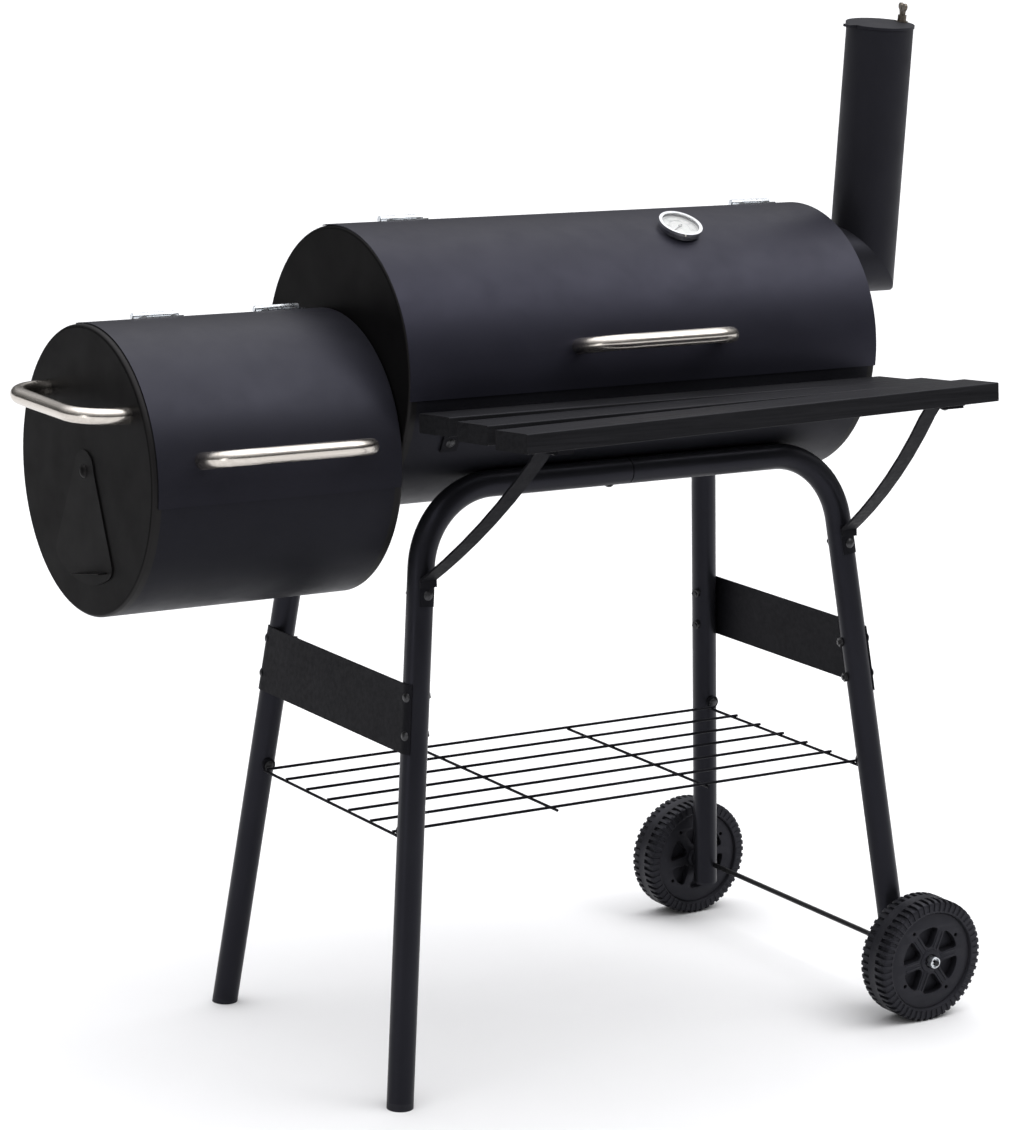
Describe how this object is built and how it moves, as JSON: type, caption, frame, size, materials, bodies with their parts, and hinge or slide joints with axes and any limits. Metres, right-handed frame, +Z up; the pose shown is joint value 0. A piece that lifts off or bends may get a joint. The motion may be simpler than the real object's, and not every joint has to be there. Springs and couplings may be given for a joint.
{
  "type": "offset barrel charcoal smoker",
  "caption": "Barrel charcoal grill with a side firebox, chimney, front shelf and a two-wheeled tubular stand; both lids lift, wheels roll, vents adjust.",
  "frame": {"origin": "on the floor under the middle of the whole object's bounding box", "axes": "+X along the barrel towards the chimney and wheels, -Y towards the cook and the front shelf, +Z up"},
  "size_m": [1.0918, 0.6162, 1.1291],
  "materials": {
    "black_sheet": "satin heat-resistant black coat",
    "black_cap": "satin heat-resistant black coat",
    "black_chimney": "satin heat-resistant black coat",
    "dark_bronze": "bronze-dark plated",
    "black_tube": "smooth satin powder coat",
    "black_plate": "fine grained powder coat",
    "slat_wood": "black painted, faint lengthwise grain",
    "black_wire": "smooth black coat",
    "black_damper": "satin black coat",
    "zinc": "bright zinc plated",
    "dark_fastener": "black oxide",
    "brushed_stainless": "fine brushed along the tube",
    "chrome_trim": "polished",
    "dial_face": "white printed dial",
    "needle_black": "matt dark grey",
    "clear_glass": "clear",
    "black_plastic": "matt moulded",
    "grate_chrome": "plated wire",
    "grate_black": "matt black"
  },
  "bodies": {
    "stand_and_barrels": {"axle": "dark_fastener", "axle_washers_and_clips": "zinc", "barrel_bolts": "dark_fastener", "chimney": "black_chimney", "chimney_cap_bolt_and_wing_nut": "dark_bronze", "chimney_cap_bracket": "dark_bronze", "chimney_flange": "black_chimney", "damper_pivot_screw": "dark_fastener", "end_cap_screws": "dark_fastener", "end_handle": "brushed_stainless", "firebox_body": "black_sheet", "firebox_charcoal_grate": "grate_black", "firebox_cooking_grate": "grate_chrome", "firebox_left_end_cap": "black_cap", "firebox_right_end_cap": "black_cap", "front_left_leg": "black_tube", "front_right_leg": "black_tube", "front_shelf_slat": "slat_wood", "grate_ledges": "grate_black", "hinge_body_leaves": "zinc", "hinge_pins_and_rivets": "zinc", "left_shelf_arm": "black_plate", "left_shelf_strut": "black_plate", "left_side_plate": "black_plate", "leg_end_caps": "black_plastic", "main_body": "black_sheet", "main_charcoal_grate": "grate_black", "main_cooking_grate": "grate_chrome", "main_left_end_cap": "black_cap", "main_right_end_cap": "black_cap", "middle_shelf_slat": "slat_wood", "rear_left_leg": "black_tube", "rear_right_leg": "black_tube", "rear_shelf_slat": "slat_wood", "right_shelf_arm": "black_plate", "right_shelf_strut": "black_plate", "right_side_plate": "black_plate", "shelf_bracket_bolts": "dark_fastener", "stand_and_slat_screws": "dark_fastener", "stand_frame_bolts": "dark_fastener", "wire_shelf": "black_wire"},
    "main_lid": {"main_lid": "black_sheet", "main_hinge_lid_leaves": "zinc", "main_lid_rivets_and_screws": "dark_fastener", "main_lid_handle": "brushed_stainless", "thermometer_case": "chrome_trim", "thermometer_bezel": "chrome_trim", "thermometer_dial": "dial_face", "thermometer_glass": "clear_glass", "thermometer_nut": "chrome_trim"},
    "thermometer_needle": {"thermometer_needle": "needle_black"},
    "firebox_lid": {"firebox_lid": "black_sheet", "firebox_hinge_lid_leaves": "zinc", "firebox_lid_rivets_and_screws": "dark_fastener", "firebox_lid_handle": "brushed_stainless"},
    "chimney_cap": {"chimney_cap": "black_chimney"},
    "air_damper": {"air_damper": "black_damper"},
    "front_wheel": {"front_wheel": "black_plastic"},
    "rear_wheel": {"rear_wheel": "black_plastic"}
  },
  "joints": [
    {"name": "main_lid_hinge", "type": "hinge", "parent": "stand_and_barrels", "child": "main_lid", "pos_m": [0.10157, 0.08884, 0.90423], "axis": [-1, 0, 0], "range_deg": [0, 115]},
    {"name": "firebox_lid_hinge", "type": "hinge", "parent": "stand_and_barrels", "child": "firebox_lid", "pos_m": [-0.34443, 0.09584, 0.81523], "axis": [-1, 0, 0], "range_deg": [0, 115]},
    {"name": "thermometer_needle_turn", "type": "hinge", "parent": "main_lid", "child": "thermometer_needle", "pos_m": [0.19057, -0.01383, 0.89539], "axis": [0, 0.4226, -0.9063], "range_deg": [0, 250]},
    {"name": "chimney_cap_swivel", "type": "hinge", "parent": "stand_and_barrels", "child": "chimney_cap", "pos_m": [0.53772, 0.05146, 1.10498], "axis": [-0.0188, -0.0879, 0.996], "range_deg": [-170, 170]},
    {"name": "air_damper_swing", "type": "hinge", "parent": "stand_and_barrels", "child": "air_damper", "pos_m": [-0.48843, 0.05863, 0.666], "axis": [1, 0, 0], "range_deg": [0, 75]},
    {"name": "front_wheel_spin", "type": "hinge", "parent": "stand_and_barrels", "child": "front_wheel", "pos_m": [0.44907, -0.15337, 0.071], "axis": [0, 1, 0], "continuous": true},
    {"name": "rear_wheel_spin", "type": "hinge", "parent": "stand_and_barrels", "child": "rear_wheel", "pos_m": [0.44907, 0.25663, 0.071], "axis": [0, 1, 0], "continuous": true}
  ]
}
